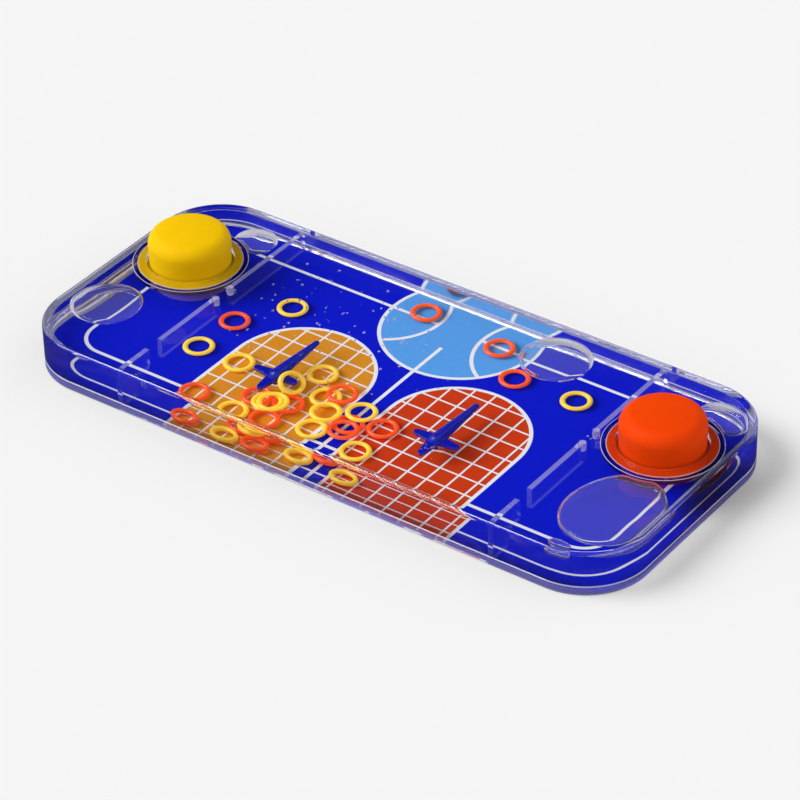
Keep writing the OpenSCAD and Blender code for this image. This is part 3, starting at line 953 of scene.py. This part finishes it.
def ring_group():
    """A hoop with a raised line where the two halves of its mould met."""
    group, nodes, given, result = form_group("ring_form", (
        ("Middle Radius", "Float"), ("Section Radius", "Float"), ("Seam Rise", "Float"),
        ("Centre", "Vector"), ("Turn", "Rotation"), ("Finish", "Material"),
    ))
    hoop = add_node(nodes, "GeometryNodeCurvePrimitiveCircle", {"Resolution": HOOP_STEPS})
    section = add_node(nodes, "GeometryNodeCurvePrimitiveCircle", {"Resolution": SECTION_STEPS})
    wire(given, "Middle Radius", hoop, "Radius")
    wire(given, "Section Radius", section, "Radius")
    tube = nodes.new("GeometryNodeCurveToMesh")
    wire(hoop, "Curve", tube, "Curve")
    wire(section, "Curve", tube, "Profile Curve")
    smooth = nodes.new("GeometryNodeSetShadeSmooth")
    wire(tube, "Mesh", smooth, "Geometry")
    place = nodes.new("GeometryNodeInputPosition")
    apart = nodes.new("ShaderNodeSeparateXYZ")
    height = add_node(nodes, "ShaderNodeMath", operation="ABSOLUTE")
    at_seam = add_node(nodes, "FunctionNodeCompare", {"B": SEAM_WITHIN * MM}, operation="LESS_THAN")
    wire(place, "Position", apart, "Vector")
    wire(apart, "Z", height, 0)
    wire(height, "Value", at_seam, "A")
    outward = nodes.new("GeometryNodeInputNormal")
    rise = add_node(nodes, "ShaderNodeVectorMath", operation="SCALE")
    wire(outward, "Normal", rise, "Vector")
    wire(given, "Seam Rise", rise, "Scale")
    seam = nodes.new("GeometryNodeSetPosition")
    wire(smooth, "Geometry", seam, "Geometry")
    wire(at_seam, "Result", seam, "Selection")
    wire(rise, "Vector", seam, "Offset")
    lay = nodes.new("GeometryNodeTransform")
    wire(seam, "Geometry", lay, "Geometry")
    wire(given, "Centre", lay, "Translation")
    wire(given, "Turn", lay, "Rotation")
    end_form(nodes, lay, given, result)
    return group


ring_form = ring_group()
# Both ring plastics give off a painted glow of their own colour.
ring_plastics = {
    word: moulded_finish(
        word + "_ring_plastic", tint, dark_share=0.9, roughness=0.34, clouding=500, glow_depth=0.7,
        painted_glow=0.26,
    )
    for word, tint in (("yellow", YELLOW_RING), ("orange", ORANGE_RING))
}
for name in sorted(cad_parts):
    if "_ring_" in name:
        low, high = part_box(name)
        word = name.split("_")[0]
        hoop = grown_piece("moulded_" + name, ring_form, {
            "Middle Radius": RING_MIDDLE_R * MM,
            "Section Radius": RING_SECTION_R * MM,
            "Seam Rise": RING_SEAM_RISE * MM,
            "Centre": (low + high) / 2,
            "Turn": (0, HANGING_LEAN if name == HANGING_RING else 0, 0),
            "Finish": ring_plastics[word],
        })
        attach(hoop, "loose_" + name)
        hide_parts(name)
        word + "_ring_plastic"


# Bubbles
# Air left in the water. The large bubbles lie flattened against the face, some up against a wall or a seat.
# Fine ones cling to the face, the floor, the jets and the right peg.
BUBBLE_STEPS = 72
BUBBLE_ROWS = 10
BUBBLE_RIM_R = 1.1
BELLY_SHARES = (0.9, 0.75, 0.5, 0.25)
UNDER_FACE = CEILING - 0.03
AIR_FROM_WALL = 0.15
AIR_FROM_SEAT = 0.3
AIR_REACH = CASE_HALF - Vector((WALL + AIR_FROM_WALL, WALL + AIR_FROM_WALL))
AIR_CORNER_R = CORNER_R - WALL - AIR_FROM_WALL
AIR_TINT = (1, 1, 1, 1)
FINE_SEGMENTS = 16
FINE_RINGS = 10
LEAST_FINE_R = 0.12

air = clear_finish("air_in_water", 1 / REFRACTION_WATER, AIR_TINT, haze=0.035)


def kept_in_tank(x, y):
    """A bubble's point, held back by the walls, their corners and the seats."""
    x = max(-AIR_REACH.x, min(AIR_REACH.x, x))
    y = max(-AIR_REACH.y, min(AIR_REACH.y, y))
    corner = Vector((
        math.copysign(AIR_REACH.x - AIR_CORNER_R, x), math.copysign(AIR_REACH.y - AIR_CORNER_R, y)
    ))
    out = Vector((x, y)) - corner
    if out.x * corner.x > 0 and out.y * corner.y > 0 and out.length > AIR_CORNER_R:
        x, y = corner + out * (AIR_CORNER_R / out.length)
    seat_middle = Vector((math.copysign(BULB_X, x), BULB_Y))
    away = Vector((x, y)) - seat_middle
    least = SEAT_RADII[1] + AIR_FROM_SEAT
    if away.length < least:
        x, y = seat_middle + away * (least / away.length)
    return x, y


def flat_bubble(name, centre, radii, turn, deep, wobble):
    """A bubble under the face: flat on top, with a round rim and a shallow belly. Sizes in millimetres."""
    rim_r = min(BUBBLE_RIM_R, deep / 2)
    rows = []
    for row in range(BUBBLE_ROWS + 1):
        a = math.pi * (0.5 - row / BUBBLE_ROWS)
        rows.append((1, rim_r * math.cos(a) - rim_r, rim_r * math.sin(a) - rim_r))
    for share in BELLY_SHARES:
        sag = (deep - 2 * rim_r) * (1 - share ** 2)
        rows.append((share, -rim_r * share, -2 * rim_r - sag))
    middle = Vector(centre)
    edges = []
    for i in range(BUBBLE_STEPS):
        a = 2 * math.pi * i / BUBBLE_STEPS
        bend = 1 + wobble * math.sin(2 * a + middle.x) + wobble / 2 * math.sin(3 * a + middle.y)
        out_x = radii[0] * bend * math.cos(a)
        out_y = radii[1] * bend * math.sin(a)
        edges.append(Vector(kept_in_tank(
            middle.x + out_x * math.cos(turn) - out_y * math.sin(turn),
            middle.y + out_x * math.sin(turn) + out_y * math.cos(turn),
        )) - middle)
    smooth_edges = [
        (edges[i - 1] + 2 * edges[i] + edges[(i + 1) % BUBBLE_STEPS]) / 4 for i in range(BUBBLE_STEPS)
    ]
    points, faces = [(*middle, UNDER_FACE)], []
    for share, inset, drop in rows:
        for edge in smooth_edges:
            points.append((*(middle + edge * share + edge.normalized() * inset), UNDER_FACE + drop))
    points.append((*middle, UNDER_FACE - deep))
    last = len(points) - 1
    for i in range(BUBBLE_STEPS):
        j = (i + 1) % BUBBLE_STEPS
        faces.append((0, 1 + i, 1 + j))
        for row in range(len(rows) - 1):
            a, b = 1 + row * BUBBLE_STEPS, 1 + (row + 1) * BUBBLE_STEPS
            faces.append((a + i, b + i, b + j, a + j))
        faces.append((last, last - BUBBLE_STEPS + j, last - BUBBLE_STEPS + i))
    bubble = new_piece(name, points, faces, [air])
    shade(bubble, ROUND_CREASE)
    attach(bubble, "case")


for name, centre, radii, turn, deep, wobble in (
    ("bubble_left_end", (-69.9, -14.6), (8.5, 8.2), 0, 3.4, 0.03),
    ("bubble_back_left", (-57.6, 25.2), (5.3, 5.3), 0, 2.9, 0.01),
    ("bubble_middle", (27.6, 24.1), (8.5, 8.4), 0, 1.9, 0.012),
    ("bubble_right_front", (68.7, -15.6), (11, 13), 0.1, 3.6, 0.04),
    ("bubble_back_right", (70.4, 25.4), (6.4, 5.6), -0.3, 3, 0.04),
    ("bubble_right_small", (65.9, -32), (2.8, 1.5), 0, 1.8, 0),
):
    flat_bubble(name, centre, radii, turn, deep, wobble)


def fine_bubble_group():
    """Round bubbles of mixed sizes, strewn over a flat patch."""
    group, nodes, given, result = form_group("fine_bubbles", (
        ("Patch Length", "Float"), ("Patch Width", "Float"), ("Centre", "Vector"), ("Density", "Float"),
        ("Seed", "Int"), ("Least Radius", "Float"), ("Most Radius", "Float"), ("Finish", "Material"),
    ))
    patch = nodes.new("GeometryNodeMeshGrid")
    wire(given, "Patch Length", patch, "Size X")
    wire(given, "Patch Width", patch, "Size Y")
    scatter = nodes.new("GeometryNodeDistributePointsOnFaces")
    wire(patch, "Mesh", scatter, "Mesh")
    wire(given, "Density", scatter, "Density")
    wire(given, "Seed", scatter, "Seed")
    ball = add_node(nodes, "GeometryNodeMeshUVSphere", {
        "Segments": FINE_SEGMENTS, "Rings": FINE_RINGS, "Radius": 1,
    })
    smooth = nodes.new("GeometryNodeSetShadeSmooth")
    wire(ball, "Mesh", smooth, "Geometry")
    size = nodes.new("FunctionNodeRandomValue")
    wire(given, "Least Radius", size, 2)
    wire(given, "Most Radius", size, 3)
    wire(given, "Seed", size, "Seed")
    put = nodes.new("GeometryNodeInstanceOnPoints")
    wire(scatter, "Points", put, "Points")
    wire(smooth, "Geometry", put, "Instance")
    wire(size, 1, put, "Scale")
    lay = nodes.new("GeometryNodeTransform")
    wire(put, "Instances", lay, "Geometry")
    wire(given, "Centre", lay, "Translation")
    end_form(nodes, lay, given, result)
    return group


fine_bubbles = fine_bubble_group()
for name, centre, patch, density, seed, most_r in (
    ("fine_bubbles_under_face", (-20, 6, CEILING - 0.5), (46, 40), 60000, 5, 0.38),
    ("fine_bubbles_on_floor", (-12, 8, FLOOR_TOP + 0.4), (52, 32), 22000, 11, 0.28),
    ("fine_bubbles_left_jet", (-50.2, 5.6, CEILING - 0.6), (6, 4), 250000, 3, 0.45),
    ("fine_bubbles_right_peg", (22.3, -18.2, 6.8), (4, 3), 900000, 4, 0.3),
    ("fine_bubbles_right_jet", (51.2, 3.2, CEILING - 0.6), (5, 4), 250000, 8, 0.45),
):
    fine = grown_piece(name, fine_bubbles, {
        "Patch Length": patch[0] * MM, "Patch Width": patch[1] * MM, "Centre": Vector(centre) * MM,
        "Density": density, "Seed": seed, "Least Radius": LEAST_FINE_R * MM, "Most Radius": most_r * MM,
        "Finish": air,
    })
    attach(fine, "case")


# Table and light
# A pale table, a soft key light from the left and in front, a wide sky, and nothing bright where the face
# would mirror it into the camera. The clear walls mirror the table only faintly.
TABLE_HALF = 3
TABLE_HIGH = -0.02
TABLE_WHITE = 0.914
TABLE_MIRRORED_WHITE = 0.06
KEY_STRENGTH = 2.3
KEY_SPREAD = math.radians(35)
KEY_FROM = Vector((-0.6, -0.4, 0.69))
SKY_STRENGTH = 0.724
SCREEN_STRENGTH = 0.02
SCREEN_FROM = Vector((-0.485, 0.659, 0.575))
SCREEN_BEGINS = 0.8
SCREEN_FULL = 0.93
LIGHT_BOUNCES = 24
CLEAR_LAYERS = 32

table = bpy.data.objects.new("table_top", bpy.data.meshes.new("table_top"))
table_corners = [
    (sx * TABLE_HALF, sy * TABLE_HALF, TABLE_HIGH * MM) for sx, sy in ((-1, -1), (1, -1), (1, 1), (-1, 1))
]
table.data.from_pydata(table_corners, [], [(0, 1, 2, 3)])
scene.collection.objects.link(table)
pale, pale_nodes = new_finish("pale_table")
pale_body = add_node(pale_nodes, "ShaderNodeBsdfPrincipled", {
    "Base Color": (TABLE_WHITE, TABLE_WHITE, TABLE_WHITE, 1), "Roughness": 1, "Specular IOR Level": 0,
})
pale_mirrored = add_node(pale_nodes, "ShaderNodeBsdfDiffuse", {
    "Color": (TABLE_MIRRORED_WHITE, TABLE_MIRRORED_WHITE, TABLE_MIRRORED_WHITE, 1),
})
pale_ray = pale_nodes.new("ShaderNodeLightPath")
straight = add_node(pale_nodes, "ShaderNodeMath", {0: 1}, operation="SUBTRACT")
mirrored = add_node(pale_nodes, "ShaderNodeMath", operation="MULTIPLY")
pale_mix = pale_nodes.new("ShaderNodeMixShader")
pale_out = pale_nodes.new("ShaderNodeOutputMaterial")
wire(pale_ray, "Is Transmission Ray", straight, 1)
wire(pale_ray, "Is Glossy Ray", mirrored, 0)
wire(straight, "Value", mirrored, 1)
wire(mirrored, "Value", pale_mix, "Fac")
wire(pale_body, "BSDF", pale_mix, 1)
wire(pale_mirrored, "BSDF", pale_mix, 2)
wire(pale_mix, "Shader", pale_out, "Surface")
table.data.materials.append(pale)

key = bpy.data.objects.new("key_light", bpy.data.lights.new("key_light", "SUN"))
key.data.energy = KEY_STRENGTH
key.data.angle = KEY_SPREAD
key.rotation_euler = KEY_FROM.to_track_quat("Z", "Y").to_euler()
scene.collection.objects.link(key)

surround = bpy.data.worlds.new("surround")
scene.world = surround
surround.use_nodes = True
sky_nodes = surround.node_tree.nodes
sky_nodes.clear()
direction = sky_nodes.new("ShaderNodeTexCoord")
nearness = add_node(sky_nodes, "ShaderNodeVectorMath", {1: SCREEN_FROM}, operation="DOT_PRODUCT")
wire(direction, "Generated", nearness, 0)
dark_screen = add_node(
    sky_nodes, "ShaderNodeMapRange",
    {"From Min": SCREEN_BEGINS, "From Max": SCREEN_FULL, "To Min": SKY_STRENGTH, "To Max": SCREEN_STRENGTH},
    interpolation_type="SMOOTHSTEP",
)
wire(nearness, "Value", dark_screen, "Value")
sky = sky_nodes.new("ShaderNodeBackground")
wire(dark_screen, "Result", sky, "Strength")
sky_out = sky_nodes.new("ShaderNodeOutputWorld")
wire(sky, "Background", sky_out, "Surface")

scene.view_settings.view_transform = "Standard"
scene.cycles.max_bounces = LIGHT_BOUNCES
scene.cycles.glossy_bounces = LIGHT_BOUNCES
scene.cycles.transmission_bounces = LIGHT_BOUNCES
scene.cycles.transparent_max_bounces = CLEAR_LAYERS
